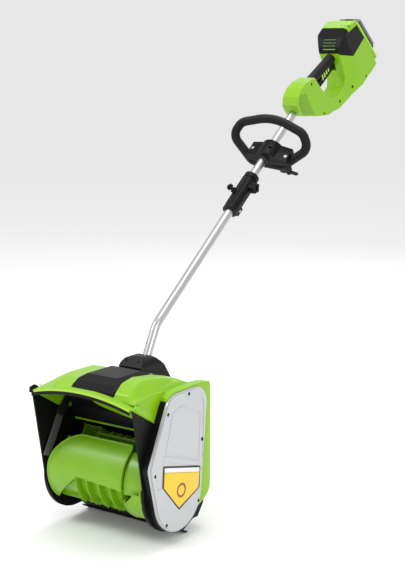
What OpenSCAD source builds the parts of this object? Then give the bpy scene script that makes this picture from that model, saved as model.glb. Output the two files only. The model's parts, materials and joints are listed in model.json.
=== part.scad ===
// Cordless snow shovel: a paddle rotor head on a jointed pole with a loop handle and a battery rear handle.
// +Z is up, +Y runs back from the mouth to the user and +X is the side of the belt cover.
// The origin is the middle of the scraper's ground strip, on the floor.

/* [Head] */
// Clearing width between the side plates
clear_w = 300; // [250:5:360]
// Radius that the paddles sweep
rotor_r = 98; // [82:1:118]
// Gap between the paddles and the chamber wall
chamber_gap = 6; // [4:0.5:9]
// Thickness of a side plate behind the mouth
plate_t = 8; // [7:0.5:10]
// Thickness of a side plate's front wing
wing_t = 4; // [3:0.5:5]
// Wall of the moulded shells
wall = 3; // [2.5:0.5:4]
// Height of the lip over the chamber's top
lip_rise = 128; // [115:1:150]
// Reach of the lip in front of the chamber
lip_reach = 38; // [25:1:50]
// Radius of the lip's arch
arch_r = 600; // [500:10:800]
// Length of the scraper's overhang under the keel
scraper_drop = 5; // [4:0.5:8]

/* [Rotor and drive] */
// Radius of the rotor shaft
axle_r = 8; // [6:0.5:10]
// Outer radius of the rotor bearings
bearing_r = 17.5; // [14:0.5:21]
// Pitch radius of the rotor pulley
big_pulley_r = 48; // [40:1:56]
// Pitch radius of the motor pulley
small_pulley_r = 14; // [11:1:17]
// Width of the drive belt
belt_w = 9; // [7:0.5:11]
// Thickness of the drive belt
belt_t = 2.4; // [2:0.2:3]
// Radius of the motor case
motor_r = 33; // [27:1:38]
// Length of the motor case
motor_len = 76; // [60:1:90]
// Radius of the motor shaft
motor_shaft_r = 4; // [3:0.5:5]
// Thickness of a paddle's sheet
paddle_t = 5; // [4:0.5:7]

/* [Pole] */
// Outer radius of the two pole tubes
tube_r = 12; // [10:0.1:14.4]
// Wall of the pole tubes
tube_wall = 1.5; // [1.2:0.1:2]
// Angle of the pole over the ground
pole_angle = 38.4; // [34:0.1:44]
// Angle of the stub that stands in the neck
neck_angle = 63; // [58:0.5:68]
// Radius of the bend over the neck
bend_r = 70; // [50:1:100]
// Distance from the bend to the coupler
lower_len = 412; // [340:1:500]
// Distance from the coupler to the nose of the rear handle
upper_len = 264; // [230:1:330]
// Length of the coupler
coupler_len = 136; // [118:1:160]
// Radius of the coupler sleeve
coupler_r = 19; // [18:0.5:23]

/* [Loop handle] */
// Radius of the loop's bar
bar_r = 12.5; // [10:0.5:14]
// Half width of the loop at its bar's centre
loop_half_w = 112; // [95:1:135]
// Height of the loop over the pole
loop_h = 88; // [75:1:105]
// Distance from the coupler to the loop's clamp
loop_gap = 107; // [80:1:130]
// Turn of the loop about the pole
loop_roll = 10; // [0:1:20]

/* [Rear handle and battery] */
// Half width of the rear housing at the battery
rear_half_w = 46; // [40:0.5:55.5]
// Width of the battery
battery_w = 75; // [62:0.5:90]
// Height of the battery
battery_h = 120; // [100:1:132]
// Depth of the battery inside its bay
battery_in = 82; // [70:1:88]
// Radius of the hand grip
grip_r = 15; // [13:0.5:17]

/* [Hidden] */
$fn = 48;

green = "#8fc31f";
dark_green = "#7fb01a";
black = "#26272a";
silver = "#d3d5d6";
steel = "#9a9da1";

// Gap between pieces that are screwed together
seam = 0.2;
// Gap between pieces that move past each other
air = 0.4;
// Radial clearance of a shaft in its bearing and of a sleeve on its tube
run = 0.06;
// Length that passes any wall, for cuts
past = 400;

// ---- head, measured from the axle ----
chamber_r = rotor_r + chamber_gap;
half_w = clear_w / 2;
shell_x = half_w + plate_t;
lip_y = -(chamber_r + lip_reach);
lip_z = chamber_r + lip_rise;
roof_z = lip_z + 14;
lip_t = 8;
back_y = chamber_r + 44;
roof_tilt = 13;
paddle_half_w = half_w - 4;
keel_y = 66;
keel_z = -(chamber_r + 37);
ground_z = keel_z - scraper_drop;
axle_y = -(keel_y + 4);
axle_z = -ground_z;
motor_y = 62;
motor_z = chamber_r + 61;

// ---- belt drive across the right side plate ----
tub_x = shell_x + 0.3;
cover_x = tub_x + 18;
cover_t = 8;
pulley_x = tub_x + wall + 1.5;
pulley_flange = 1.5;
pulley_w = belt_w + 2 * pulley_flange + 0.6;
nut_h = 4;
axle_end = pulley_x + pulley_w + nut_h;
cover_rim = [
    [8, -chamber_r + 78, 90],
    [75, chamber_r + 76, 46],
    [4, chamber_r + 71, 50],
    [-80, chamber_r - 46, 25]
];
cover_screw_spots = [
    [46, chamber_r + 111], [-36, chamber_r + 78], [100, chamber_r - 14],
    [-86, chamber_r - 60], [84, -chamber_r + 42], [-44, -chamber_r + 16]
];
screw_r = 2;
screw_head_r = 4.4;

// ---- pole, measured from the bend ----
bend_y = 155;
bend_z = chamber_r + 238;
bend_turn = neck_angle - pole_angle;
bend_reach = bend_r * tan(bend_turn / 2);
stub_len = 160;
coupler_s = lower_len;
split_s = coupler_s + coupler_len / 2;
nose_s = coupler_s + coupler_len + upper_len;
tube_end_s = nose_s + 88;
loop_s = coupler_s + coupler_len + loop_gap;
liner_t = 2.5;
liner_r = tube_r + run + liner_t;
// The clamp's ends along the pole, its two bolts and its parting plane
clamp_y0 = -36;
clamp_y1 = 14;
clamp_left = [-44, -10];
clamp_right = [62, -19];
clamp_gap = 1;

// ---- rear handle, measured along the pole from the nose and across it ----
grip_front = [120, 14];
grip_back = [262, -7];
trigger_pivot = [268, -20];
bay_s = 391;
bay_h = -48;
bay_tilt = 12.8;
bay_half_h = 86;
pocket_half_w = battery_w / 2 + 1.5;
pocket_half_h = battery_h / 2 + 3;
pocket_deep = battery_in + 10;
battery_out = 26;
cap_t = 9;

// =====================================================================
// Shared shapes
// =====================================================================

// A closed outline round the circles [x, y, r], listed anticlockwise, each pair joined along its outer tangent. The
// straight sides lie a hair inside the tangents, so that they cut the circles cleanly.
tuck = 0.03;
function tangent_normal(a, b) =
    let (d = [b[0] - a[0], b[1] - a[1]])
    let (len = norm(d))
    let (k = (a[2] - b[2]) / len)
    let (m = sqrt(1 - k * k))
    [k * d[0] / len + m * d[1] / len, k * d[1] / len - m * d[0] / len];

module rim_outline(rim, inset = 0) {
    count = len(rim);
    polygon([
        for (i = [0 : count - 1], end = [0 : 1])
            let (a = rim[i])
            let (b = rim[(i + 1) % count])
            let (n = tangent_normal(a, b))
            let (c = end == 0 ? a : b)
            [c[0] + (c[2] - inset - tuck) * n[0], c[1] + (c[2] - inset - tuck) * n[1]]
    ]);
    for (c = rim)
        translate([c[0], c[1]])
            circle(r = c[2] - inset);
}

function box_rim(half_x, half_y, corner) = [
    [half_x - corner, half_y - corner, corner],
    [corner - half_x, half_y - corner, corner],
    [corner - half_x, corner - half_y, corner],
    [half_x - corner, corner - half_y, corner]
];

// Extrudes a (Y, Z) profile along X from x0 to x1.
module along_x(x0, x1) {
    translate([x0, 0, 0])
        rotate([90, 0, 90])
            linear_extrude(height = x1 - x0)
                children();
}

// Extrudes an (X, Z) profile along Y from y0 to y1.
module along_y(y0, y1) {
    translate([0, y1, 0])
        rotate([90, 0, 0])
            linear_extrude(height = y1 - y0)
                children();
}

// A round bar along X.
module rod_x(x0, x1, r) {
    translate([x0, 0, 0])
        rotate([0, 90, 0])
            cylinder(h = x1 - x0, r = r);
}

// A round bar along Y.
module rod_y(y0, y1, r) {
    translate([0, y0, 0])
        rotate([-90, 0, 0])
            cylinder(h = y1 - y0, r = r);
}

// The axle's frame: Y back and Z up from the rotor's centre.
module at_axle() {
    translate([0, axle_y, axle_z])
        children();
}

// A frame on the pole's axis at distance s past the bend: Y runs up the pole and Z stands square on it.
module at_pole(s) {
    at_axle()
        translate([0, bend_y + s * cos(pole_angle), bend_z + s * sin(pole_angle)])
            rotate([pole_angle, 0, 0])
                children();
}

// A frame in the neck's stub at distance s before the bend.
module at_stub(s) {
    at_axle()
        translate([0, bend_y - s * cos(neck_angle), bend_z - s * sin(neck_angle)])
            rotate([neck_angle, 0, 0])
                children();
}

// The rear handle's frame: Y up the pole from the housing's nose.
module at_rear() {
    at_pole(nose_s)
        children();
}

// The battery bay's frame: Y out of the bay, Z up its mouth.
module at_bay() {
    at_rear()
        translate([0, bay_s, bay_h])
            rotate([bay_tilt, 0, 0])
                children();
}

// The loop handle's clamp frame, turned about the pole.
module at_clamp() {
    at_pole(loop_s)
        rotate([0, loop_roll, 0])
            children();
}

// A pan-head screw along -Z with its head's underside at z = 0.
module screw(shank, head_r = screw_head_r, head_h = 2.4) {
    difference() {
        union() {
            cylinder(h = head_h, r = head_r);
            translate([0, 0, -shank])
                cylinder(h = shank, r = screw_r);
        }
        translate([0, 0, head_h - 1])
            cylinder(h = 2, r = 1.8, $fn = 6);
    }
}

function unit(v) = v / norm(v);
function turn_of(a, p, b) =
    let (d = unit(p - a))
    let (e = unit(b - p))
    atan2(d[0] * e[1] - d[1] * e[0], d[0] * e[0] + d[1] * e[1]);

// A bar or tube with the child's profile along a line of (x, y) corners in the XY plane, each corner bent to its
// radius. A bend is a hair thicker than the straight stretches, which reach a little way into it.
bend_swell = 1.004;
bend_lap = 0.3;
module bent_bar(corners, radii) {
    last = len(corners) - 1;
    reach = [
        for (i = [0 : last])
            (i == 0 || i == last) ? 0
                : radii[i] * tan(abs(turn_of(corners[i - 1], corners[i], corners[i + 1])) / 2)
    ];
    for (i = [1 : last]) {
        d = unit(corners[i] - corners[i - 1]);
        from = corners[i - 1] + d * reach[i - 1];
        length = norm(corners[i] - corners[i - 1]) - reach[i - 1] - reach[i];
        translate([from[0], from[1], 0])
            rotate([0, 0, atan2(d[1], d[0])])
                along_x(i == 1 ? 0 : -bend_lap, length + (i == last ? 0 : bend_lap))
                    children();
    }
    for (i = [1 : last - 1]) {
        d = unit(corners[i] - corners[i - 1]);
        turn = turn_of(corners[i - 1], corners[i], corners[i + 1]);
        side = sign(turn);
        start = corners[i] - d * reach[i];
        hub = start + radii[i] * side * [-d[1], d[0]];
        first = atan2(start[1] - hub[1], start[0] - hub[0]);
        translate([hub[0], hub[1], 0])
            rotate([0, 0, side > 0 ? first : first + turn])
                rotate_extrude(angle = abs(turn))
                    translate([radii[i], 0])
                        scale(bend_swell)
                            children();
    }
}

// =====================================================================
// Head: shells
// =====================================================================

// The roof's arch: everything below a wide cylinder that rises backwards from the lip.
module below_arch(grow = 0) {
    translate([0, lip_y, lip_z + grow])
        rotate([roof_tilt, 0, 0])
            translate([0, 0, -arch_r])
                rod_y(-60, past, arch_r);
}

// The head's outline seen from the front: a square right shoulder and a sloped left one.
module front_outline(inset = 0) {
    low = -chamber_r;
    rim_outline([
        [8 - shell_x, low, 8], [shell_x - 8, low, 8],
        [shell_x - 28, roof_z - 28, 28], [53 - shell_x, roof_z - 28, 28],
        [12 - shell_x, lip_z - 32, 12]
    ], inset);
}

// The hood's section from the lip over the roof and down the back.
module hood_outline(grow = 0) {
    polygon([
        [lip_y, chamber_r + 70], [lip_y, lip_z + grow], [-58, roof_z + grow], [40, roof_z + grow],
        [92 + grow, roof_z - 18 + grow], [back_y - 22 + grow, roof_z - 44 + grow],
        [back_y + grow, roof_z - 80], [back_y - 2 + grow, 60], [back_y - 8, -70], [0, -70]
    ]);
}

// The machine room between the roof and the deflector.
module room_outline() {
    polygon([
        [lip_y + 30, lip_z - 7], [-58, roof_z - wall], [40 - 1, roof_z - wall], [90, roof_z - 21],
        [back_y - 25, roof_z - 46], [back_y - wall, roof_z - 81], [back_y - 5, 60],
        [back_y - 11.5, -71], [16, -71], [16, chamber_r + 6], [8, lip_z - 84], [-25, lip_z - 37]
    ]);
}

// The mouth under the deflector, open to the front and below.
module mouth_outline() {
    polygon([
        [lip_y - 60, past], [lip_y + 28, past], [lip_y + 29, lip_z - 11], [-28, lip_z - 39],
        [5, lip_z - 85], [13, chamber_r + 5], [13, -past], [lip_y - 60, -past]
    ]);
}

// The sloping line where the hood meets the side plates, with everything below it.
edge_front = [lip_y + 4, lip_z - 22];
edge_mid = [-35, lip_z - 84];
edge_back = [back_y + 20, lip_z - 124];
module below_edge(gap = 0) {
    polygon([
        [lip_y - 60, edge_front[1] + 38 - gap], [edge_front[0], edge_front[1] - gap],
        [edge_mid[0], edge_mid[1] - gap], [edge_back[0], edge_back[1] - gap],
        [edge_back[0], -past], [lip_y - 60, -past]
    ]);
}

module hood_solid(grow = 0) {
    intersection() {
        along_x(-shell_x - grow - 1, shell_x + grow + 1)
            hood_outline(grow);
        below_arch(grow);
        along_y(-past, past)
            front_outline(-grow);
    }
}

module hood_shell() {
    color(green)
    at_axle() {
        difference() {
            hood_solid();
            intersection() {
                along_x(-shell_x + wall, shell_x - wall)
                    room_outline();
                below_arch(-wall);
                along_y(-past, past)
                    front_outline(wall);
            }
            intersection() {
                along_x(-shell_x + wing_t, shell_x - wing_t)
                    mouth_outline();
                below_arch(-lip_t);
                along_y(-past, past)
                    front_outline(wall);
            }
            rod_x(-half_w, half_w, chamber_r + wall + seam);
            for (side = [-1, 1])
                along_x(side > 0 ? half_w - 0.1 : -past, side > 0 ? past : 0.1 - half_w)
                    below_edge();
            translate([0, motor_y, motor_z])
                rod_x(0, past, small_pulley_r);
            neck_hole();
            side_screw_places()
                translate([0, 0, -20])
                    cylinder(h = 40, r = screw_r + 0.15);
            motor_cover_screw_places()
                translate([0, 0, -12])
                    cylinder(h = 14, r = screw_r + 0.15);
        }
        for (side = [-1, 1])
            hood_side_rib(side);
    }
}

// The raised rib that follows the hood's lower edge on each side.
rib_t = 2.5;
module hood_side_rib(side) {
    x0 = side > 0 ? shell_x - 0.5 : -shell_x - rib_t;
    x1 = side > 0 ? shell_x + rib_t : 0.5 - shell_x;
    end_y = side > 0 ? -64 : 20;
    difference() {
        intersection() {
            along_x(x0, x1)
                polygon([
                    [edge_front[0] + 4, edge_front[1] + 2], [edge_mid[0], edge_mid[1]], [end_y + 60, edge_mid[1]],
                    [end_y + 60, edge_mid[1] + 22], [edge_mid[0], edge_mid[1] + 24],
                    [edge_front[0] + 12, edge_front[1] + 10]
                ]);
            along_x(x0, x1)
                translate([end_y - 2 * past, -past])
                    square([2 * past, 2 * past]);
        }
        side_screw_places()
            translate([0, 0, -20])
                cylinder(h = 40, r = screw_head_r + 0.6);
    }
}

// Where the neck's stub passes through the roof.
module neck_hole() {
    translate([0, bend_y, bend_z])
        rotate([neck_angle, 0, 0])
            rod_y(-past, -40, tube_r + 2);
}

module lower_housing() {
    reach = chamber_r + wall;
    color(black)
    at_axle()
        difference() {
            along_x(-half_w + seam, half_w - seam)
                difference() {
                    union() {
                        intersection() {
                            circle(r = reach);
                            polygon([[0, 0], [24, -past], [past, -past], [past, past], [24 * past / reach, past]]);
                        }
                        polygon([
                            [18, 2 - chamber_r], [45, keel_z + 11], [keel_y, keel_z], [116, keel_z + 23],
                            [back_y - 9, keel_z + 52], [back_y - 9, -73], [back_y - 60, -73], [40, -60]
                        ]);
                    }
                    circle(r = chamber_r);
                    polygon([
                        [34, -reach - 2], [48, keel_z + 13.5], [keel_y, keel_z + 4], [114, keel_z + 26],
                        [back_y - 13, keel_z + 54], [back_y - 13, -78], [back_y - 36, -78]
                    ]);
                }
            scraper_screw_places()
                translate([0, 0, -14])
                    cylinder(h = 20, r = screw_r + 0.1);
        }
}

// A side plate's outline: round under the rotor, straight up the mouth's edge and along the hood.
module plate_outline() {
    union() {
        translate([10, -chamber_r + 92])
            circle(r = 108);
        intersection() {
            polygon([
                [10 - 107.6, -chamber_r + 99], [lip_y + 9, lip_z - 36], [lip_y + 3, lip_z - 14],
                [edge_mid[0], edge_mid[1] + 20], [back_y - 2, edge_back[1] + 20], [back_y - 3, 60],
                [back_y - 6, -72], [back_y - 9, keel_z + 53], [116, keel_z + 24], [10, -chamber_r - 16]
            ]);
            below_edge(0.3);
        }
    }
}

// The part of a side plate behind the mouth's bevel, which is the full thickness.
module plate_rear_zone() {
    polygon([
        [-95, 37 - 60], [-97, 37], [-50, 131], [0, 168], [0, past], [past, past], [past, -past], [-95, -past]
    ]);
}

module side_plate(side) {
    x_out = side * shell_x;
    difference() {
        union() {
            along_x(min(x_out, x_out - side * wing_t), max(x_out, x_out - side * wing_t))
                plate_outline();
            along_x(min(x_out, x_out - side * plate_t), max(x_out, x_out - side * plate_t))
                intersection() {
                    plate_outline();
                    plate_rear_zone();
                }
            // ear inside the hood's side wall, which takes the side screws
            along_x(min(x_out - side * 3.3, x_out - side * plate_t), max(x_out - side * 3.3, x_out - side * plate_t))
                polygon([
                    [30, edge_mid[1] - 40], [30, edge_mid[1] + 8], [back_y - 14, edge_back[1] + 22],
                    [back_y - 14, edge_back[1] - 40]
                ]);
        }
        rod_x(-past, past, bearing_r + 0.05);
        side_screw_places()
            translate([0, 0, -20])
                cylinder(h = 40, r = screw_r + 0.1);
    }
}

module side_plate_left() {
    color(black)
    at_axle()
        side_plate(-1);
}

module side_plate_right() {
    color(black)
    at_axle()
        side_plate(1);
}

// Two screws on the left side and two hidden behind the belt housing, along +X or -X.
module side_screw_places() {
    for (side = [-1, 1], y = [48, back_y - 32])
        translate([side * shell_x, y, edge_mid[1] - 0.23 * (y - edge_mid[0]) + 11])
            rotate([0, side * 90, 0])
                children();
}

module side_screws() {
    color(steel)
    at_axle()
        intersection() {
            side_screw_places()
                screw(plate_t - 1, head_h = 2.2);
            along_x(-past, shell_x)
                square(2 * past, center = true);
        }
}

module axle_cap() {
    color(black)
    at_axle()
        translate([-shell_x - 0.2, 0, 0])
            difference() {
                union() {
                    rod_x(-5, 0, bearing_r + 12);
                    rod_x(-9, -5, bearing_r + 7);
                }
                rod_x(-5.5, 1, bearing_r + 4);
            }
}

// ---- scraper ----
scraper_slope = atan2(-11, 21);
module scraper_screw_places() {
    for (k = [-2 : 2])
        translate([k * (half_w - 25) / 2, 54, keel_z + 1.2])
            rotate([180 + scraper_slope, 0, 0])
                children();
}

module scraper_bar() {
    color(black)
    at_axle()
        difference() {
            along_x(-shell_x, shell_x)
                polygon([
                    [42.9, keel_z + 7.2], [44.9, keel_z + 10.8], [keel_y, keel_z - 0.25], [keel_y + 8, ground_z + 2.5],
                    [keel_y + 8, ground_z], [keel_y, ground_z], [63, keel_z - 3.4]
                ]);
            scraper_screw_places()
                translate([0, 0, -14])
                    cylinder(h = 40, r = screw_r + 0.1);
        }
}

module scraper_screws() {
    color(steel)
    at_axle()
        scraper_screw_places()
            screw(8, head_r = 4, head_h = 1.6);
}

// =====================================================================
// Head: belt drive
// =====================================================================

module belt_housing() {
    color(black)
    at_axle()
        difference() {
            union() {
                along_x(tub_x, cover_x - seam)
                    difference() {
                        rim_outline(cover_rim);
                        rim_outline(cover_rim, wall);
                    }
                along_x(tub_x, tub_x + wall)
                    rim_outline(cover_rim);
                for (spot = cover_screw_spots)
                    translate([0, spot[0], spot[1]])
                        rod_x(tub_x, cover_x - seam, 4.6);
            }
            rod_x(-past, past, axle_r + 6);
            translate([0, motor_y, motor_z])
                rod_x(-past, past, motor_shaft_r + 5);
            for (spot = cover_screw_spots)
                translate([0, spot[0], spot[1]])
                    rod_x(cover_x - 13, past, screw_r + 0.05);
        }
}

panel_rim = [
    [90, 26, 12], [84, chamber_r + 74, 22], [20, chamber_r + 84, 26], [-2, chamber_r + 80, 22], [-78, 52, 8],
    [-74, 20, 12]
];

module belt_cover() {
    color(silver)
    at_axle()
        difference() {
            union() {
                along_x(cover_x, cover_x + cover_t - 2.5)
                    rim_outline(cover_rim);
                along_x(cover_x + cover_t - 2.5, cover_x + cover_t)
                    rim_outline(cover_rim, 3.5);
            }
            along_x(cover_x - 1, cover_x + cover_t - wall)
                difference() {
                    rim_outline(cover_rim, wall);
                    for (spot = cover_screw_spots)
                        translate(spot)
                            circle(r = 6);
                }
            along_x(cover_x + cover_t - 1.2, past)
                rim_outline(panel_rim);
            for (spot = cover_screw_spots)
                translate([0, spot[0], spot[1]]) {
                    rod_x(-past, past, screw_r + 0.15);
                    rod_x(cover_x + cover_t - 3, past, screw_head_r + 0.3);
                }
        }
}

module belt_cover_screws() {
    color(black)
    at_axle()
        for (spot = cover_screw_spots)
            translate([cover_x + cover_t - 3, spot[0], spot[1]])
                rotate([0, 90, 0])
                    screw(13.5);
}

belt_x = pulley_x + pulley_flange + 0.3;
module drive_belt() {
    inner = [[0, 0, big_pulley_r + 0.3], [motor_y, motor_z, small_pulley_r + 0.3]];
    color("#1c1c1c")
    at_axle()
        along_x(belt_x, belt_x + belt_w)
            difference() {
                rim_outline(inner, -belt_t);
                rim_outline(inner);
            }
}

// A flanged pulley along +X from x = 0.
module pulley(r, bore) {
    difference() {
        union() {
            rod_x(0, pulley_w, r);
            rod_x(0, pulley_flange, r + belt_t + 1.8);
            rod_x(pulley_w - pulley_flange, pulley_w, r + belt_t + 1.8);
        }
        rod_x(-1, pulley_w + 1, bore);
    }
}

module rotor_pulley() {
    color("#3a3b3d")
    at_axle()
        translate([pulley_x, 0, 0])
            difference() {
                pulley(big_pulley_r, axle_r);
                for (k = [0 : 4])
                    rotate([k * 72, 0, 0])
                        translate([0, big_pulley_r * 0.58, 0])
                            rod_x(-1, pulley_w + 1, big_pulley_r * 0.2);
            }
}

module pulley_nut() {
    color(steel)
    at_axle()
        translate([axle_end - nut_h, 0, 0])
            rotate([0, 90, 0])
                difference() {
                    cylinder(h = nut_h, r = axle_r + 5, $fn = 6);
                    translate([0, 0, -1])
                        cylinder(h = nut_h + 2, r = axle_r);
                }
}

module motor_pulley() {
    color(steel)
    at_axle()
        translate([pulley_x, motor_y, motor_z])
            pulley(small_pulley_r, motor_shaft_r);
}

module motor_shaft() {
    color(steel)
    at_axle()
        translate([0, motor_y, motor_z])
            rod_x(motor_x0 - 6, pulley_x + pulley_w, motor_shaft_r);
}

motor_x1 = half_w - 6;
motor_x0 = motor_x1 - motor_len;
module motor_case() {
    color("#55585c")
    at_axle()
        translate([0, motor_y, motor_z])
            difference() {
                union() {
                    rod_x(motor_x0, motor_x1, motor_r);
                    rod_x(motor_x0 - 4, motor_x0, motor_r * 0.4);
                }
                rod_x(-past, past, motor_shaft_r + run);
                for (k = [0 : 7])
                    rotate([k * 45, 0, 0])
                        translate([0, motor_r - 4, 0])
                            along_x(motor_x0 - 1, motor_x0 + motor_len * 0.6)
                                square([6, 5], center = true);
                for (k = [0 : 3])
                    rotate([45 + k * 90, 0, 0])
                        translate([0, motor_r * 0.66, 0])
                            rod_x(motor_x1 - 8, past, screw_r + 0.05);
            }
}

module motor_mount() {
    color(steel)
    at_axle()
        translate([0, motor_y, motor_z])
            difference() {
                union() {
                    rod_x(motor_x1 + 0.1, motor_x1 + 3, motor_r + 5);
                    // standoffs to the hood's wall and to the side plate's ear
                    for (k = [0 : 3])
                        rotate([45 + k * 90, 0, 0])
                            translate([0, motor_r, 0])
                                rod_x(motor_x1 + 1, k < 2 ? shell_x - wall - seam : half_w - seam, 3.5);
                }
                rod_x(-past, past, motor_shaft_r + 5);
                for (k = [0 : 3])
                    rotate([45 + k * 90, 0, 0])
                        translate([0, motor_r * 0.66, 0])
                            rod_x(-past, past, screw_r + 0.1);
            }
}

module motor_screws() {
    color(steel)
    at_axle()
        translate([motor_x1 + 3, motor_y, motor_z])
            for (k = [0 : 3])
                rotate([45 + k * 90, 0, 0])
                    translate([0, motor_r * 0.66, 0])
                        rotate([0, 90, 0])
                            screw(8, head_r = 3.6, head_h = 1.6);
}

// ---- bearings and rotor ----
module bearing(x0, x1) {
    color(steel)
    at_axle()
        difference() {
            rod_x(x0, x1, bearing_r);
            rod_x(x0 - 1, x1 + 1, axle_r + run);
            for (face = [x0 - 1, x1 - 0.6])
                difference() {
                    rod_x(face, face + 1.6, bearing_r - 2.5);
                    rod_x(face - 1, face + 3, axle_r + 2.5);
                }
        }
}

module bearing_left() {
    bearing(-shell_x, -half_w + 0.5);
}

module bearing_right() {
    bearing(half_w - 0.5, shell_x);
}

module rotor_shaft() {
    color(steel)
    at_axle()
        rod_x(-shell_x - 1.5, axle_end, axle_r);
}

hub_r = axle_r + 6;

// The fan's angles about the axle: its top edge, the fold and its bottom edge
fan_top = 113;
fan_fold = 188;
fan_end = 236;
fan_x1 = paddle_half_w * 0.6;
recess = 17;

// The slice of a ring between two angles.
module ring_slice(r0, r1, from, to) {
    span = to - from;
    intersection() {
        difference() {
            circle(r = r1);
            circle(r = r0);
        }
        polygon([
            [0, 0],
            for (k = [0 : 4])
                3 * r1 * [cos(from + span * k / 4), sin(from + span * k / 4)]
        ]);
    }
}

// A paddle: a broad curved sheet with a round corner, ribbed pockets under its fold and webs down to the hub.
module fan() {
    inner = rotor_r - paddle_t;
    floor_r = rotor_r - recess;
    pocket_x0 = -paddle_half_w * 0.7;
    rib_pitch = (fan_x1 - pocket_x0) / 5;
    intersection() {
        union() {
            along_x(-paddle_half_w - 1, fan_x1 + 1)
                ring_slice(inner, rotor_r, fan_top, fan_fold);
            along_x(-paddle_half_w - 1, pocket_x0)
                ring_slice(inner, rotor_r, fan_fold - 2, fan_end);
            along_x(pocket_x0 - 0.5, fan_x1 + 1)
                ring_slice(floor_r - 3, inner + 1.5, fan_fold - 3.5, fan_fold - 0.5);
            along_x(pocket_x0 - 0.7, fan_x1 + 1)
                ring_slice(floor_r - 4, floor_r, fan_fold - 2.5, fan_end - 0.5);
            along_x(pocket_x0 - 0.9, fan_x1 + 1)
                ring_slice(floor_r - 3.5, rotor_r - 7, fan_end - 4, fan_end - 0.2);
            for (k = [0 : 4])
                along_x(fan_x1 - rib_pitch * k - 3, fan_x1 - rib_pitch * k + (k == 0 ? 1 : 0))
                    ring_slice(floor_r - 2, rotor_r - 1, fan_fold - 1.5, fan_end - 1);
            for (x = [-paddle_half_w * 0.8, -8, fan_x1 - 8])
                along_x(x, x + 4)
                    ring_slice(hub_r - 2, inner + 2, fan_top + 6, fan_end - 6);
        }
        along_y(-past, past)
            rim_outline([
                [-paddle_half_w + 30, -rotor_r * 0.62, 30], [fan_x1 - 8, -rotor_r, 8],
                [fan_x1 - 12, rotor_r * 0.92 - 12, 12], [-paddle_half_w + 76, rotor_r * 0.92 - 76, 76]
            ]);
    }
}

// The narrow blade that stands beside a fan's straight end.
module end_blade() {
    x0 = fan_x1 + 6;
    intersection() {
        union() {
            along_x(x0 - 2, paddle_half_w + 1)
                ring_slice(rotor_r - paddle_t, rotor_r, 184, 244);
            along_x(paddle_half_w - 4, paddle_half_w + 1)
                ring_slice(hub_r - 2, rotor_r - 1, 176, 243);
            along_x(x0 - 5, x0)
                ring_slice(hub_r - 2, rotor_r - 1.5, 200, 242.5);
            along_x(x0 - 5, paddle_half_w + 1)
                ring_slice(hub_r - 2, rotor_r - 2, 240, 243.5);
        }
        along_y(-past, past)
            rim_outline([
                [x0 - 4 + 3, -rotor_r + 3, 3], [paddle_half_w - 3, -rotor_r + 3, 3], [paddle_half_w - 3, -2, 3],
                [x0 + 26, -32, 30]
            ]);
    }
}

module rotor_paddles() {
    color(green)
    at_axle()
        difference() {
            union() {
                rod_x(-paddle_half_w, paddle_half_w, hub_r);
                for (half = [0, 1])
                    rotate([180 * half, 0, 0])
                        mirror([half, 0, 0]) {
                            fan();
                            end_blade();
                        }
            }
            rod_x(-past, past, axle_r);
        }
}

// =====================================================================
// Head: motor cover and neck
// =====================================================================

cover_left = -36;
cover_right = 92;
module motor_cover_screw_places() {
    for (x = [cover_left + 12, cover_right - 12])
        translate([x, 30, roof_z])
            children();
}

module motor_cover() {
    top = roof_z + 15;
    color(black)
    at_axle()
        difference() {
            intersection() {
                along_x(cover_left, cover_right)
                    polygon([
                        [lip_y + 16, lip_z - 30], [lip_y + 16, lip_z + 4], [lip_y + 34, top - 12],
                        [lip_y + 62, top], [12, top], [46, top - 12], [46, lip_z - 30]
                    ]);
                along_y(-past, past)
                    polygon([
                        [cover_left, -past], [cover_right, -past], [cover_right, roof_z - 6],
                        [cover_right - 26, top], [cover_left + 10, top], [cover_left, top - 8]
                    ]);
            }
            hood_solid(seam);
            intersection() {
                along_x(cover_left + wall, cover_right - wall)
                    polygon([
                        [lip_y + 40, lip_z - 10], [lip_y + 64, top - wall], [11, top - wall], [42, top - 14],
                        [42, lip_z - 30]
                    ]);
                along_y(-past, past)
                    polygon([
                        [cover_left + wall, -past], [cover_right - wall, -past], [cover_right - wall, roof_z - 8],
                        [cover_right - 28, top - wall], [cover_left + 12, top - wall], [cover_left + wall, top - 10]
                    ]);
                difference() {
                    along_x(-past, past)
                        square(2 * past, center = true);
                    motor_cover_screw_places()
                        cylinder(h = 40, r = 6);
                }
            }
            motor_cover_screw_places()
                translate([0, 0, -20]) {
                    cylinder(h = 60, r = screw_r + 0.15);
                    translate([0, 0, 24])
                        cylinder(h = 40, r = screw_head_r + 0.4);
                }
        }
}

module motor_cover_screws() {
    color(steel)
    at_axle()
        motor_cover_screw_places()
            translate([0, 0, 4])
                screw(11);
}

neck_half_w = 36;
neck_front = 50;
neck_back = back_y + 20;
module neck_socket() {
    top = bend_z - 66;
    color(black)
    at_axle()
        difference() {
            intersection() {
                along_x(-neck_half_w, neck_half_w)
                    polygon([
                        [neck_front, roof_z - 20], [neck_front, roof_z + 8], [neck_front + 14, top - 4],
                        [neck_front + 28, top], [neck_front + 60, top - 2], [neck_back - 26, roof_z + 2],
                        [neck_back, roof_z - 36], [neck_back, roof_z - 60], [neck_front + 40, roof_z - 60]
                    ]);
                along_y(-past, past)
                    rim_outline([
                        [6 - neck_half_w, roof_z - 60, 6], [neck_half_w - 6, roof_z - 60, 6],
                        [neck_half_w - 24, top - 24, 24], [24 - neck_half_w, top - 24, 24]
                    ]);
            }
            hood_solid(seam);
            translate([0, bend_y, bend_z])
                rotate([neck_angle, 0, 0]) {
                    rod_y(-past, past, tube_r + 0.02);
                    for (side = [-1, 1])
                        translate([side * (tube_r + 7), -110, 0])
                            cylinder(h = 2 * past, r = screw_r + 0.6, center = true);
                }
        }
}

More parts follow.
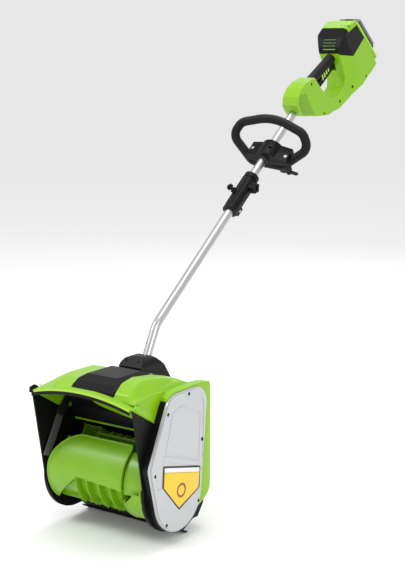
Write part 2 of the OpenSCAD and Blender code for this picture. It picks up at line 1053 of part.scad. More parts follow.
module neck_bolts() {
    color(steel)
    at_stub(110)
        for (side = [-1, 1])
            translate([side * (tube_r + 7), 0, 0])
                intersection() {
                    cylinder(h = 70, r = screw_r + 0.5, center = true);
                    translate([0, 0, 2])
                        cube([20, 20, 52], center = true);
                }
}

// =====================================================================
// Pole and coupler
// =====================================================================

// The lower tube's centre line in the (Y, Z) plane, from inside the neck to the coupler's middle.
module lower_line() {
    start = [bend_y - stub_len * cos(neck_angle), bend_z - stub_len * sin(neck_angle)];
    end = [bend_y + split_s * cos(pole_angle), bend_z + split_s * sin(pole_angle)];
    at_axle()
        rotate([90, 0, 90])
            bent_bar([start, [bend_y, bend_z], end], [0, bend_r, 0])
                children();
}

module lower_tube() {
    color(silver)
        lower_line()
            difference() {
                circle(r = tube_r);
                circle(r = tube_r - tube_wall);
            }
}

module upper_tube() {
    color(silver)
    at_pole(0)
        difference() {
            rod_y(split_s + 1, tube_end_s, tube_r);
            rod_y(split_s, tube_end_s + 1, tube_r - tube_wall);
        }
}

knob_s = coupler_len - 42;
lug_s = 26;
button_roll = -34;
button_s = 62;
module coupler_sleeve() {
    color(black)
    at_pole(coupler_s)
        difference() {
            union() {
                rod_y(0, coupler_len, coupler_r);
                rod_y(0, 14, coupler_r + 2);
                rod_y(coupler_len - 14, coupler_len, coupler_r + 2);
                // long ribs
                for (k = [0 : 5])
                    rotate([0, 60 * k + 12, 0])
                        translate([-1.5, 14, coupler_r - 3])
                            cube([3, coupler_len - 28, 5.4]);
                // boss of the clamp knob
                translate([0, knob_s, 0])
                    rod_x(0, coupler_r + 5, 11);
                // lower clamp lug
                translate([-9, lug_s - 13, -coupler_r - 11])
                    cube([18, 26, 16]);
                // guide of the release button
                translate([0, button_s, 0])
                    rotate([0, button_roll, 0])
                        cylinder(h = coupler_r + 8, r = 8.5);
            }
            rod_y(-1, coupler_len / 2 + 0.5, tube_r + run);
            rod_y(coupler_len / 2, coupler_len + 1, tube_r + 0.02);
            translate([0, knob_s, 0])
                rod_x(tube_r + 0.5, past, 3.1);
            translate([0, lug_s, -coupler_r - 5])
                rod_x(-past, past, 2.6);
            translate([0, lug_s, -coupler_r - 5])
                rod_x(9 - 4, past, 4.8);
            translate([0, button_s, 0])
                rotate([0, button_roll, 0])
                    translate([0, 0, tube_r + 1.5])
                        cylinder(h = past, r = 4.6);
        }
}

module coupler_bolt() {
    color(steel)
    at_pole(coupler_s)
        translate([0, lug_s, -coupler_r - 5]) {
            rod_x(-12, 5, 2.5);
            rod_x(5, 9.5, 4.5);
        }
}

// A star knob on a stud that clamps the sleeve.
module coupler_knob() {
    color(black)
    at_pole(coupler_s)
        translate([0, knob_s, 0])
            rotate([0, 90, 0])
                union() {
                    translate([0, 0, tube_r + 1])
                        cylinder(h = coupler_r + 8 - tube_r, r = 3.05);
                    translate([0, 0, coupler_r + 5.4])
                        difference() {
                            linear_extrude(height = 12)
                                union() {
                                    circle(r = 13);
                                    for (k = [0 : 4])
                                        rotate(72 * k + 10)
                                            translate([11, 0])
                                                circle(r = 5);
                                }
                            translate([0, 0, 9])
                                cylinder(h = 5, r = 8);
                        }
                }
}

button_travel = 4;
module coupler_button() {
    color(black)
    at_pole(coupler_s)
        translate([0, button_s, 0])
            rotate([0, button_roll, 0]) {
                translate([0, 0, tube_r + 1.9 + button_travel])
                    cylinder(h = coupler_r + 18 - tube_r, r = 4.55);
                translate([0, 0, coupler_r + 8.4 + button_travel])
                    cylinder(h = 9, r = 9);
            }
}

// =====================================================================
// Loop handle
// =====================================================================

module clamp_liner() {
    color("#1b1b1c")
    at_pole(loop_s)
        difference() {
            rod_y(clamp_y0 - 4, clamp_y1 + 4, liner_r);
            rod_y(-past, past, tube_r + run);
        }
}

loop_low = liner_r / sin(90 - pole_angle) + bar_r + 5;
ring_low_z = -(loop_low * cos(pole_angle) + bar_r + 1);
ring_low_y = -loop_low * sin(pole_angle);
module clamp_half_outline(side) {
    edge = clamp_gap / 2 * side;
    polygon([
        [clamp_left[0] - 9, edge], [clamp_left[0] - 9, side * 9], [-liner_r - 4, side * (liner_r + 2)],
        [liner_r + 8, side * (liner_r + 2)], [clamp_right[0] + 8, side * 9], [clamp_right[0] + 8, edge]
    ]);
}

module loop_handle() {
    corners = [
        [0, -loop_low], [-48, -loop_low], [-loop_half_w - 6, 24], [16 - loop_half_w, loop_h - 24], [0, loop_h + 7],
        [loop_half_w - 16, loop_h - 24], [loop_half_w + 6, 24], [48, -loop_low], [0, -loop_low]
    ];
    color(black)
    at_clamp()
        difference() {
            union() {
                rotate([90 - pole_angle, 0, 0])
                    bent_bar(corners, [0, 24, 28, 34, 150, 34, 28, 24, 0])
                        circle(r = bar_r);
                along_y(clamp_y0, clamp_y1)
                    clamp_half_outline(-1);
                translate([-20, ring_low_y - 4, ring_low_z])
                    cube([40, 8 + bar_r, -ring_low_z - 4]);
                translate([clamp_right[0], clamp_right[1], ring_low_z])
                    cylinder(h = -ring_low_z - 4, r = 10);
            }
            rod_y(-past, past, liner_r + run);
            clamp_holes();
            translate([clamp_left[0], clamp_left[1], -60])
                cylinder(h = 47.4, r = 6.4);
            translate([clamp_left[0] - 10, clamp_y0 - 30, -clamp_gap / 2])
                cube([clamp_right[0] - clamp_left[0] + 20, 120, 16]);
        }
}

module clamp_holes() {
    for (spot = [clamp_left, clamp_right])
        translate([spot[0], spot[1], -past / 2])
            cylinder(h = past, r = 3.1);
}

module handle_saddle() {
    color(black)
    at_clamp()
        difference() {
            union() {
                intersection() {
                    translate([7, 0, -3])
                        rod_y(clamp_y0, clamp_y1, liner_r + 19);
                    translate([-60, -60, clamp_gap / 2])
                        cube([120, 120, 60]);
                }
                along_y(clamp_y0, clamp_y1)
                    clamp_half_outline(1);
            }
            rod_y(-past, past, liner_r + run);
            clamp_holes();
            translate([16, -14, liner_r + 9])
                cylinder(h = 20, r = 4.2);
            for (spot = [clamp_left, clamp_right])
                translate([spot[0], spot[1], 7])
                    cylinder(h = 40, r = 6.4);
        }
}

module saddle_screw() {
    color(steel)
    at_clamp()
        translate([clamp_left[0], clamp_left[1], 0]) {
            translate([0, 0, -17.2])
                cylinder(h = 24.5, r = 3);
            translate([0, 0, 7.1])
                cylinder(h = 4, r = 5.4, $fn = 6);
            translate([0, 0, -17.2])
                cylinder(h = 4.5, r = 5.4, $fn = 6);
        }
}

module clamp_bolt() {
    color(steel)
    at_clamp()
        translate([clamp_right[0], clamp_right[1], 0]) {
            translate([0, 0, ring_low_z - 9])
                cylinder(h = 16 - ring_low_z, r = 3);
            translate([0, 0, 7.1])
                cylinder(h = 4, r = 5.4, $fn = 6);
        }
}

module wing_knob() {
    color(black)
    at_clamp()
        translate([clamp_right[0], clamp_right[1], ring_low_z - 0.4])
            rotate([180, 0, 0])
                difference() {
                    union() {
                        cylinder(h = 5, r = 9);
                        translate([0, 0, 2])
                            cylinder(h = 10, r = 7);
                        for (side = [-1, 1])
                            translate([0, 2.2, 0])
                                rotate([90, 0, 0])
                                    linear_extrude(height = 4.4)
                                        polygon([
                                            [0, 1], [side * 12, 2], [side * 27, 5], [side * 28, 10], [side * 22, 14],
                                            [0, 11]
                                        ]);
                    }
                    translate([0, 0, -1])
                        cylinder(h = 11, r = 3 + run);
                }
}

// =====================================================================
// Rear handle
// =====================================================================

// The housing's side outline along and across the pole, with the hand opening left out.
module rear_outline() {
    polygon([
        [0, 6], [0, 30], [18, 46], [48, 52], [80, 48], [120, 32], [127, -3], [134, -28], [153, -70],
        [188, -90], [228, -90], [248, -70], [254, -36], [257, 12], [266, 26], [288, 44], [322, 55],
        [372, 40], [bay_s + 19, -132], [bay_s + 8, -142], [382, -150], [348, -140], [234, -137], [179, -130],
        [147, -115], [114, -102], [60, -60], [5, -13]
    ]);
}

// Everything under the bay's mouth plane.
module before_mouth(gap = 0) {
    translate([0, bay_s, bay_h])
        rotate([bay_tilt, 0, 0])
            translate([-past, -2 * past - gap, -past])
                cube([2 * past, 2 * past, 2 * past]);
}

// The housing's half width along the pole.
module rear_plan(inset = 0) {
    w = rear_half_w - inset;
    polygon([
        [24 - inset, -20], [26 - inset, 60], [25 - inset, 180], [30 - inset, 246], [w - 1, 300], [w, 430],
        [-w, 430], [1 - w, 300], [inset - 30, 246], [inset - 25, 180], [inset - 26, 60], [inset - 24, -20]
    ]);
}

module rear_solid(inset = 0) {
    intersection() {
        translate([0, 0, -inset])
            along_x(-past, past)
                rear_outline();
        linear_extrude(height = 2 * past, center = true)
            rear_plan(inset);
        before_mouth();
        along_y(-past, past)
            rim_outline([
                [14 - rear_half_w, -136, 14], [rear_half_w - 14, -136, 14],
                [rear_half_w - 16, 39, 16], [16 - rear_half_w, 39, 16]
            ], inset);
    }
}

// The side area of the vent cover, which wraps over the front of the hump.
module vent_area() {
    polygon([
        [258, 4], [250, 34], [274, 70], [320, 80], [321, 38], [372, 26], [386, -32], [304, -36]
    ]);
}

module bay_pocket() {
    along_y(-pocket_deep, 40)
        rim_outline(box_rim(pocket_half_w, pocket_half_h, 6));
}

module grip_line(r, extra = 0) {
    slope = atan2(grip_back[1] - grip_front[1], grip_back[0] - grip_front[0]);
    length = norm(grip_back - grip_front);
    translate([0, grip_front[0], grip_front[1]])
        rotate([slope, 0, 0])
            rod_y(-extra, length + extra, r);
}

module housing_screw_places() {
    for (spot = [[24, -14], [96, 28], [100, -84], [190, -114], [262, -118], [336, 46], [330, -132]])
        translate([0, spot[0], spot[1]])
            rotate([0, 90, 0])
                children();
}

// One half of the clamshell; side is -1 on the left and 1 on the right.
module housing_half(side) {
    difference() {
        intersection() {
            rear_solid();
            translate([side > 0 ? seam / 2 : -past, -past, -past])
                cube([past - (side > 0 ? 0 : seam / 2), 3 * past, 2 * past]);
        }
        // tube seat
        rod_y(-past, tube_end_s - nose_s + seam, tube_r + 0.02);
        // hollow over the tube, hollow guard and the board's room
        intersection() {
            union() {
                along_x(-past, past)
                    polygon([[30, 20], [44, 44], [82, 42], [112, 28], [112, 22]]);
                along_x(-past, past)
                    polygon([[112, -80], [146, -92], [188, -101], [236, -103], [246, -112], [246, -127], [182, -120],
                        [150, -106], [118, -94]]);
                along_x(-past, past)
                    polygon([[279, -40], [288, -40], [303, -100], [306, -126], [258, -126], [258, -74]]);
            }
            linear_extrude(height = 2 * past, center = true)
                rear_plan(wall);
        }
        translate([0, bay_s, bay_h])
            rotate([bay_tilt, 0, 0])
                bay_pocket();
        grip_line(grip_r + seam, 6);
        // seat of the vent cover
        difference() {
            along_x(-past, past)
                vent_area();
            rear_solid(2.7);
        }
        // slot, pin hole and stop of the trigger
        along_x(-trigger_half_w - air, trigger_half_w + air)
            polygon([[123, 6], [123, -29], [150, -31], [262, -50], [278, -34], [278, -8], [262, 0]]);
        translate([0, trigger_pivot[0], trigger_pivot[1]])
            rod_x(-trigger_half_w - 5, trigger_half_w + 5, 2.55);
        // lock button's guide
        translate([0, lock_spot[0], lock_spot[1]])
            rod_y(-14, 30, lock_r + 0.08);
        housing_screw_places()
            cylinder(h = 2 * past, r = screw_r + 0.1, center = true);
        housing_screw_places()
            translate([0, 0, 15])
                cylinder(h = past, r = screw_head_r + 0.4);
    }
}

module housing_left() {
    color(green)
    at_rear()
        housing_half(-1);
}

module housing_right() {
    color(green)
    at_rear()
        housing_half(1);
}

module housing_screws() {
    color(steel)
    at_rear()
        housing_screw_places()
            translate([0, 0, 15.1])
                screw(30);
}

trigger_half_w = 7;
module hand_grip() {
    color(black)
    at_rear()
        difference() {
            union() {
                grip_line(grip_r, 4);
                for (k = [0 : 1])
                    grip_line(grip_r + 0.1, 0);
            }
            grip_line(grip_r - 4, 30);
            along_x(-trigger_half_w - air, trigger_half_w + air)
                polygon([[100, 16.9], [100, -60], [280, -70], [280, -9.6]]);
        }
}

module vent_cover() {
    color("#1d1e20")
    at_rear()
        difference() {
            intersection() {
                difference() {
                    rear_solid();
                    rear_solid(2.5);
                }
                along_x(-past, past)
                    vent_inner();
            }
            // vent slots over the front of the hump
            for (k = [0 : 3])
                translate([-22, 262 + 7 * k, 0])
                    cube([44, 2.6, 80]);
            grip_line(grip_r + seam, 6);
        }
}

module vent_inner() {
    polygon([
        [258.5, 4.4], [250.5, 34], [274, 69.5], [319.7, 79], [319.7, 37.7], [371.7, 25.6], [385.4, -31.6],
        [304.2, -35.5]
    ]);
}

module bay_frame() {
    color("#a6dc1c")
    at_bay()
        along_y(seam, 6)
            difference() {
                rim_outline(box_rim(rear_half_w + 1.5, bay_half_h, 12));
                rim_outline(box_rim(pocket_half_w, pocket_half_h, 6));
            }
}

// The lever along the underside of the grip, with its front end free.
module trigger() {
    color("#2b2c2e")
    at_rear()
        difference() {
            along_x(-trigger_half_w, trigger_half_w)
                union() {
                    polygon([
                        [141, -13], [137, -19], [140, -28], [180, -31], [248, -33], [262, -27], [268, -20],
                        [266, -15], [250, -15], [200, -12]
                    ]);
                    translate(trigger_pivot)
                        circle(r = 6);
                }
            translate([0, trigger_pivot[0], trigger_pivot[1]])
                rod_x(-past, past, 2.5 + run);
            for (k = [0 : 4])
                along_x(trigger_half_w - 1.2, past)
                    translate([154 + 17 * k, -24.5 - k])
                        rotate(62)
                            square([9, 3.4], center = true);
        }
}

module trigger_pin() {
    color(steel)
    at_rear()
        translate([0, trigger_pivot[0], trigger_pivot[1]])
            rod_x(-trigger_half_w - 4.5, trigger_half_w + 4.5, 2.5);
}

lock_r = 5;
lock_spot = [128, -38];
module lock_button() {
    color("#b9c0c8")
    at_rear()
        translate([0, lock_spot[0], lock_spot[1]]) {
            rod_y(-8, 18, lock_r);
            rod_y(-9.5, -8, lock_r - 1);
        }
}

module switch_box() {
    color("#303236")
    at_rear()
        translate([-9, 276, -72])
            cube([18, 12, 21]);
}

module control_board() {
    color("#1f6b3a")
    at_rear() {
        translate([-20, 266, -108])
            cube([40, 1.6, 32]);
        for (x = [-14, -2, 10])
            translate([x, 267.6, -104])
                cube([6, 8, 12]);
    }
}

module terminal_block() {
    color("#202123")
    at_bay() {
        translate([-20, -pocket_deep, -18])
            cube([40, 6, 36]);
        for (x = [-14, -5, 4, 13])
            translate([x - 0.6, -pocket_deep + 6, -12])
                cube([1.2, 9, 24]);
    }
}

// ---- battery ----
battery_wall = 2.5;
module battery_case() {
    color("#3b3d3f")
    at_bay()
        difference() {
            along_y(-battery_in, battery_out)
                rim_outline(box_rim(battery_w / 2, battery_h / 2, 5));
            along_y(-battery_in + battery_wall, battery_out + 1)
                rim_outline(box_rim(battery_w / 2 - battery_wall, battery_h / 2 - battery_wall, 3));
            for (x = [-14, -5, 4, 13])
                translate([x - 1.2, -battery_in - 1, -14])
                    cube([2.4, 9, 28]);
            translate([-latch_half_w - air, -12, battery_h / 2 - 9])
                cube([2 * (latch_half_w + air), battery_out + 20, 20]);
        }
}

latch_half_w = 14;
module battery_cap() {
    color("#6f7376")
    at_bay()
        difference() {
            union() {
                along_y(battery_out + seam, battery_out + cap_t)
                    rim_outline(box_rim(battery_w / 2 - 1, battery_h / 2 - 1, 8));
                along_y(battery_out - 4, battery_out + seam)
                    rim_outline(box_rim(battery_w / 2 - battery_wall - seam, battery_h / 2 - battery_wall - seam, 3));
            }
            translate([-latch_half_w - air, battery_out - 10, battery_h / 2 - 9])
                cube([2 * (latch_half_w + air), 40, 20]);
        }
}

latch_travel = 4;
module battery_latch() {
    color("#161718")
    at_bay()
        difference() {
            translate([-latch_half_w, -11, battery_h / 2 - 9 + latch_travel + 0.3])
                cube([2 * latch_half_w, battery_out + cap_t + 10, 4.5]);
            for (k = [0 : 3])
                translate([-latch_half_w + 3, battery_out - 14 + 6 * k, battery_h / 2 - 9 + latch_travel + 4])
                    cube([2 * latch_half_w - 6, 2, 3]);
        }
}

cell_r = 9;
cell_pitch = 19.6;
module cell_pack() {
    color("#3f7fb5")
    at_bay()
        for (row = [0 : 1], k = [-2 : 2])
            translate([0, -battery_in + 20 + row * cell_pitch, k * cell_pitch - 4])
                rod_x(-battery_w / 2 + 5, battery_w / 2 - 5, cell_r);
}

hood_shell();
lower_housing();
side_plate_left();
side_plate_right();
side_screws();
axle_cap();
scraper_bar();
scraper_screws();
belt_housing();
belt_cover();
belt_cover_screws();
drive_belt();
bearing_left();
bearing_right();
motor_case();
motor_mount();
motor_screws();
motor_cover();
motor_cover_screws();
neck_socket();
neck_bolts();
lower_tube();
rotor_paddles();
rotor_shaft();
rotor_pulley();
pulley_nut();
motor_shaft();
motor_pulley();
upper_tube();
coupler_sleeve();
coupler_bolt();
coupler_knob();
coupler_button();
clamp_liner();
loop_handle();
handle_saddle();
saddle_screw();
clamp_bolt();
wing_knob();
housing_left();
housing_right();
housing_screws();
hand_grip();
vent_cover();
bay_frame();
trigger();
trigger_pin();
lock_button();
switch_box();
control_board();
terminal_block();
battery_case();
battery_cap();
battery_latch();
cell_pack();
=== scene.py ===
"""Looks of the cordless snow shovel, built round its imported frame: skins, trims, finishes, floor, light and camera."""

import json
import math

import bmesh
import bpy
import numpy as np
from bpy.props import FloatProperty, FloatVectorProperty, PointerProperty
from mathutils import Matrix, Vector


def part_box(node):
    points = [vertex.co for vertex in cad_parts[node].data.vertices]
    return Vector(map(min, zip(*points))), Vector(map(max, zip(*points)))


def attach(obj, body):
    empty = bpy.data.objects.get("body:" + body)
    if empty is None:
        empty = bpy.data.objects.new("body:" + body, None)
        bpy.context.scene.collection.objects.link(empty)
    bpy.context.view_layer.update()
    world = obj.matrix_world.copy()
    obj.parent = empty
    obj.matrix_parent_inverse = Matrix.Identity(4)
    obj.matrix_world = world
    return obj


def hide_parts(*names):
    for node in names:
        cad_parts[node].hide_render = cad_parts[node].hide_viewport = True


bl_info = {
    "name": "Snow Shovel Looks",
    "version": (1, 0, 0),
    "blender": (4, 5, 0),
    "location": "3D View > Sidebar > Shovel",
    "description": "Skins, trims and finishes for a cordless snow shovel",
    "category": "Object",
}

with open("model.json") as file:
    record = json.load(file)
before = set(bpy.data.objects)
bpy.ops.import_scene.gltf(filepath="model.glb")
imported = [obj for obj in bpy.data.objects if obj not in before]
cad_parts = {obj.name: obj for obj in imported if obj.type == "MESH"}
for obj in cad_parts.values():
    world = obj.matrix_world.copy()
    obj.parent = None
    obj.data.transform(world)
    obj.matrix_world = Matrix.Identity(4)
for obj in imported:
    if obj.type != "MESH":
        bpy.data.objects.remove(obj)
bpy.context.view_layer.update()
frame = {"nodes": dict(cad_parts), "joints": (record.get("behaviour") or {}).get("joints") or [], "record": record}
MM = 0.001
JOINTS = {j["name"]: j for j in frame["joints"]}
AXLE = np.array(JOINTS["rotor_spin"]["pos_m"])
POLE_DIR = np.array(JOINTS["handle_turn"]["axis"])
POLE_UP = np.array([0.0, -POLE_DIR[2], POLE_DIR[1]])
PIVOT = np.array(JOINTS["trigger_pull"]["pos_m"])
# the rear handle's nose, from the trigger's pivot: metres down the pole and metres across it
NOSE_BACK, NOSE_UP = 0.268, 0.020
NOSE = PIVOT - NOSE_BACK * POLE_DIR + NOSE_UP * POLE_UP


# ---------------------------------------------------------------- settings

class ShovelColours(bpy.types.PropertyGroup):
    """Colours of the shells."""
    green: FloatVectorProperty(name="Shell green", description="Colour of the green shells", subtype="COLOR",
                               size=3, min=0, max=1, default=(0.235, 0.50, 0.003))
    black: FloatVectorProperty(name="Black plastic", description="Colour of the black shells", subtype="COLOR",
                               size=3, min=0, max=1, default=(0.0045, 0.0045, 0.005))
    silver: FloatVectorProperty(name="Cover silver", description="Colour of the painted belt cover", subtype="COLOR",
                                size=3, min=0, max=1, default=(0.52, 0.53, 0.545))


class ShovelSizes(bpy.types.PropertyGroup):
    """Sizes of the trims, in metres."""
    lip_band: FloatProperty(name="Lip band", description="Height of the band along the hood's lip", unit="LENGTH",
                            default=0.007, min=0.003, max=0.015)


# ---------------------------------------------------------------- node groups

def new_group(name, inputs, outputs):
    """A shader node group with the named sockets, and its input and output nodes."""
    g = bpy.data.node_groups.new(name, "ShaderNodeTree")
    for label, kind, value in inputs:
        s = g.interface.new_socket(name=label, in_out="INPUT", socket_type=kind)
        s.default_value = value
    for label, kind in outputs:
        g.interface.new_socket(name=label, in_out="OUTPUT", socket_type=kind)
    return g, g.nodes.new("NodeGroupInput"), g.nodes.new("NodeGroupOutput")


def grain_group():
    """Moulded grain: a fine noise for height, a broad noise that drifts the colour and the roughness."""
    g, i, o = new_group("moulded_grain", [
        ("Base", "NodeSocketColor", (0.5, 0.5, 0.5, 1)), ("Drift", "NodeSocketFloat", 0.12),
        ("Rough", "NodeSocketFloat", 0.5), ("Rough Drift", "NodeSocketFloat", 0.08),
        ("Fine Scale", "NodeSocketFloat", 900.0), ("Broad Scale", "NodeSocketFloat", 9.0),
        ("Dust", "NodeSocketFloat", 0.05)],
        [("Color", "NodeSocketColor"), ("Roughness", "NodeSocketFloat"), ("Height", "NodeSocketFloat")])
    n, link = g.nodes, g.links.new
    tc = n.new("ShaderNodeTexCoord")
    fine = n.new("ShaderNodeTexNoise")
    fine.inputs["Detail"].default_value = 3
    broad = n.new("ShaderNodeTexNoise")
    broad.inputs["Detail"].default_value = 4
    link(tc.outputs["Object"], fine.inputs["Vector"])
    link(tc.outputs["Object"], broad.inputs["Vector"])
    link(i.outputs["Fine Scale"], fine.inputs["Scale"])
    link(i.outputs["Broad Scale"], broad.inputs["Scale"])
    centred = n.new("ShaderNodeMath")
    centred.operation = "SUBTRACT"
    centred.inputs[1].default_value = 0.5
    link(broad.outputs["Fac"], centred.inputs[0])
    swing = n.new("ShaderNodeMath")
    swing.operation = "MULTIPLY_ADD"
    swing.inputs[2].default_value = 1.0
    link(centred.outputs[0], swing.inputs[0])
    link(i.outputs["Drift"], swing.inputs[1])
    tone = n.new("ShaderNodeHueSaturation")
    link(swing.outputs[0], tone.inputs["Value"])
    link(i.outputs["Base"], tone.inputs["Color"])
    # dust: a thin pale film where the surface looks up, broken by the broad noise
    geo = n.new("ShaderNodeNewGeometry")
    sep = n.new("ShaderNodeSeparateXYZ")
    link(geo.outputs["Normal"], sep.inputs[0])
    up = n.new("ShaderNodeMapRange")
    up.inputs["From Min"].default_value = 0.35
    up.inputs["From Max"].default_value = 1.0
    link(sep.outputs["Z"], up.inputs["Value"])
    film = n.new("ShaderNodeMath")
    film.operation = "MULTIPLY"
    link(up.outputs[0], film.inputs[0])
    link(broad.outputs["Fac"], film.inputs[1])
    film2 = n.new("ShaderNodeMath")
    film2.operation = "MULTIPLY"
    link(film.outputs[0], film2.inputs[0])
    link(i.outputs["Dust"], film2.inputs[1])
    mix = n.new("ShaderNodeMix")
    mix.data_type = "RGBA"
    mix.inputs["B"].default_value = (0.75, 0.75, 0.72, 1)
    link(film2.outputs[0], mix.inputs["Factor"])
    link(tone.outputs["Color"], mix.inputs["A"])
    link(mix.outputs["Result"], o.inputs["Color"])
    rough = n.new("ShaderNodeMath")
    rough.operation = "MULTIPLY_ADD"
    link(centred.outputs[0], rough.inputs[0])
    link(i.outputs["Rough Drift"], rough.inputs[1])
    link(i.outputs["Rough"], rough.inputs[2])
    link(rough.outputs[0], o.inputs["Roughness"])
    link(fine.outputs["Fac"], o.inputs["Height"])
    return g


def brushed_group():
    """Brushed metal: a noise drawn out along one axis gives streaks in height and roughness."""
    g, i, o = new_group("brushed_metal", [
        ("Base", "NodeSocketColor", (0.8, 0.8, 0.8, 1)), ("Rough", "NodeSocketFloat", 0.3),
        ("Streak", "NodeSocketFloat", 0.12), ("Along", "NodeSocketVector", (60, 900, 900))],
        [("Color", "NodeSocketColor"), ("Roughness", "NodeSocketFloat"), ("Height", "NodeSocketFloat")])
    n, link = g.nodes, g.links.new
    tc = n.new("ShaderNodeTexCoord")
    stretch = n.new("ShaderNodeVectorMath")
    stretch.operation = "MULTIPLY"
    link(tc.outputs["Object"], stretch.inputs[0])
    link(i.outputs["Along"], stretch.inputs[1])
    noise = n.new("ShaderNodeTexNoise")
    noise.inputs["Scale"].default_value = 1.0
    noise.inputs["Detail"].default_value = 3
    link(stretch.outputs[0], noise.inputs["Vector"])
    rough = n.new("ShaderNodeMath")
    rough.operation = "MULTIPLY_ADD"
    link(noise.outputs["Fac"], rough.inputs[0])
    link(i.outputs["Streak"], rough.inputs[1])
    link(i.outputs["Rough"], rough.inputs[2])
    link(rough.outputs[0], o.inputs["Roughness"])
    tone = n.new("ShaderNodeHueSaturation")
    value = n.new("ShaderNodeMapRange")
    value.inputs["To Min"].default_value = 0.9
    value.inputs["To Max"].default_value = 1.08
    link(noise.outputs["Fac"], value.inputs["Value"])
    link(value.outputs[0], tone.inputs["Value"])
    link(i.outputs["Base"], tone.inputs["Color"])
    link(tone.outputs["Color"], o.inputs["Color"])
    link(noise.outputs["Fac"], o.inputs["Height"])
    return g


GROUPS = {}


def finish(name, base, rough=0.5, metallic=0.0, kind="moulded_grain", bump=0.00006, coat=0.0,
           specular=0.5, **values):
    """A material of one Principled shader whose colour, roughness and height come from a shared effect group."""
    if not GROUPS:
        GROUPS["moulded_grain"] = grain_group()
        GROUPS["brushed_metal"] = brushed_group()
    m = bpy.data.materials.new(name)
    m.use_nodes = True
    n, link = m.node_tree.nodes, m.node_tree.links.new
    shader = n["Principled BSDF"]
    shader.inputs["Metallic"].default_value = metallic
    shader.inputs["Specular IOR Level"].default_value = specular
    if coat:
        shader.inputs["Coat Weight"].default_value = coat
        shader.inputs["Coat Roughness"].default_value = 0.15
    effect = n.new("ShaderNodeGroup")
    effect.node_tree = GROUPS[kind]
    effect.inputs["Base"].default_value = (*base, 1)
    effect.inputs["Rough"].default_value = rough
    for key, value in values.items():
        effect.inputs[key.replace("_", " ")].default_value = value
    relief = n.new("ShaderNodeBump")
    relief.inputs["Strength"].default_value = 1.0
    relief.inputs["Distance"].default_value = bump
    link(effect.outputs["Height"], relief.inputs["Height"])
    link(effect.outputs["Color"], shader.inputs["Base Color"])
    link(effect.outputs["Roughness"], shader.inputs["Roughness"])
    link(relief.outputs["Normal"], shader.inputs["Normal"])
    return m


FINISHES = {}


def make_finishes(c):
    """Every finish, by the name of the slot it belongs to."""
    green, black, silver = tuple(c.green), tuple(c.black), tuple(c.silver)
    table = {
        "green_plastic": dict(base=green, rough=0.36, specular=0.35, coat=0.1, Dust=0.03),
        "bright_green_plastic": dict(base=(0.38, 0.66, 0.02), rough=0.3, coat=0.2),
        "rotor_green": dict(base=(0.19, 0.42, 0.002), rough=0.36, coat=0.1, Drift=0.2),
        "black_plastic": dict(base=black, rough=0.42, specular=0.16, Drift=0.3, Dust=0.0),
        "silver_cover": dict(base=silver, rough=0.32, metallic=0.25, coat=0.3, Drift=0.05),
        "tube_aluminium": dict(base=(0.55, 0.56, 0.57), rough=0.22, metallic=1.0, kind="brushed_metal",
                               Along=(900, 40, 40), bump=0.00002),
        "steel_parts": dict(base=(0.5, 0.51, 0.53), rough=0.28, metallic=1.0, kind="brushed_metal",
                            Along=(500, 500, 60), bump=0.00002),
        "black_screws": dict(base=(0.012, 0.012, 0.012), rough=0.35, metallic=0.6),
        "dark_case": dict(base=(0.06, 0.065, 0.07), rough=0.4, metallic=0.5),
        "belt_rubber": dict(base=(0.012, 0.012, 0.012), rough=0.7, bump=0.0002),
        "liner_rubber": dict(base=(0.015, 0.015, 0.015), rough=0.7, bump=0.0002),
        "grip_rubber": dict(base=(0.007, 0.007, 0.008), rough=0.5, specular=0.18, bump=0.00012, Drift=0.3,
                            Fine_Scale=1400.0),
        "grey_plastic": dict(base=(0.42, 0.47, 0.55), rough=0.35),
        "battery_plastic": dict(base=(0.035, 0.036, 0.038), rough=0.42, Drift=0.2),
        "battery_end": dict(base=(0.16, 0.165, 0.17), rough=0.42, Drift=0.12),
        "board_green": dict(base=(0.01, 0.12, 0.04), rough=0.3, coat=0.5),
        "cell_wrap": dict(base=(0.04, 0.16, 0.4), rough=0.25, coat=0.3),
    }
    for name, values in table.items():
        FINISHES[name] = finish(name, **values)


# ---------------------------------------------------------------- surfaces

def put_mesh(name, points, faces, body, slot, material=None, smooth=35.0):
    """Makes a piece of points and faces, with faces turned outwards, that rides on a body."""
    mesh = bpy.data.meshes.new(name)
    mesh.from_pydata(np.asarray(points, float).tolist(), [], [list(map(int, f)) for f in faces])
    bm = bmesh.new()
    bm.from_mesh(mesh)
    bmesh.ops.remove_doubles(bm, verts=bm.verts, dist=1e-7)
    bmesh.ops.recalc_face_normals(bm, faces=bm.faces)
    bm.to_mesh(mesh)
    bm.free()
    mesh.polygons.foreach_set("use_smooth", np.ones(len(mesh.polygons), bool))
    mesh.set_sharp_from_angle(angle=math.radians(smooth))
    obj = bpy.data.objects.new(name, mesh)
    bpy.context.scene.collection.objects.link(obj)
    mesh.materials.append(material or FINISHES[slot])
    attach(obj, body)
    return obj


def loft(rings, torus=False):
    """Points and faces of rings (n, m, 3) joined in order. In a torus the last ring joins the first; otherwise both
    ends are closed by fans to their middles."""
    rings = np.asarray(rings, float)
    n, m = rings.shape[:2]
    points = rings.reshape(-1, 3)
    i, j = np.meshgrid(np.arange(n if torus else n - 1), np.arange(m), indexing="ij")
    a, b = i * m + j, i * m + (j + 1) % m
    c, d = ((i + 1) % n) * m + (j + 1) % m, ((i + 1) % n) * m + j
    faces = np.stack([a, b, c, d], -1).reshape(-1, 4).tolist()
    if not torus:
        k = np.arange(m)
        ends = np.stack([rings[0].mean(0), rings[-1].mean(0)])
        points = np.vstack([points, ends])
        faces += np.stack([np.full(m, n * m), (k + 1) % m, k], -1).tolist()
        base = (n - 1) * m
        faces += np.stack([np.full(m, n * m + 1), base + k, base + (k + 1) % m], -1).tolist()
    return points, faces


